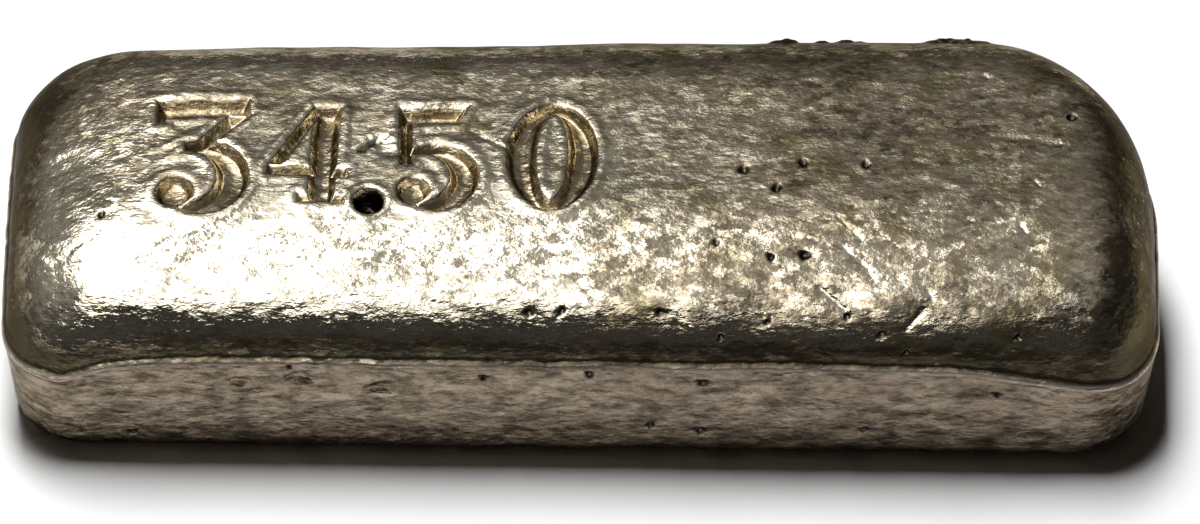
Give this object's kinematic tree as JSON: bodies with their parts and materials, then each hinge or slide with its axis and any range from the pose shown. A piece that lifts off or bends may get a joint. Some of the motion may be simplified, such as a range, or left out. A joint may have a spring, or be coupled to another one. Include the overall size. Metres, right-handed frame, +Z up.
{
  "type": "metal ingot",
  "caption": "Small hand-poured silver bar with drafted mould walls, a raised rounded crown and a punched weight.",
  "frame": {"origin": "middle of the face that the bar rests on, at floor level", "axes": "+X along the bar, +Z up; the weight mark reads from -Y"},
  "size_m": [0.0428, 0.0144, 0.0099],
  "materials": {
    "silver": "satin"
  },
  "bodies": {
    "root": {"ingot": "silver"}
  },
  "joints": []
}
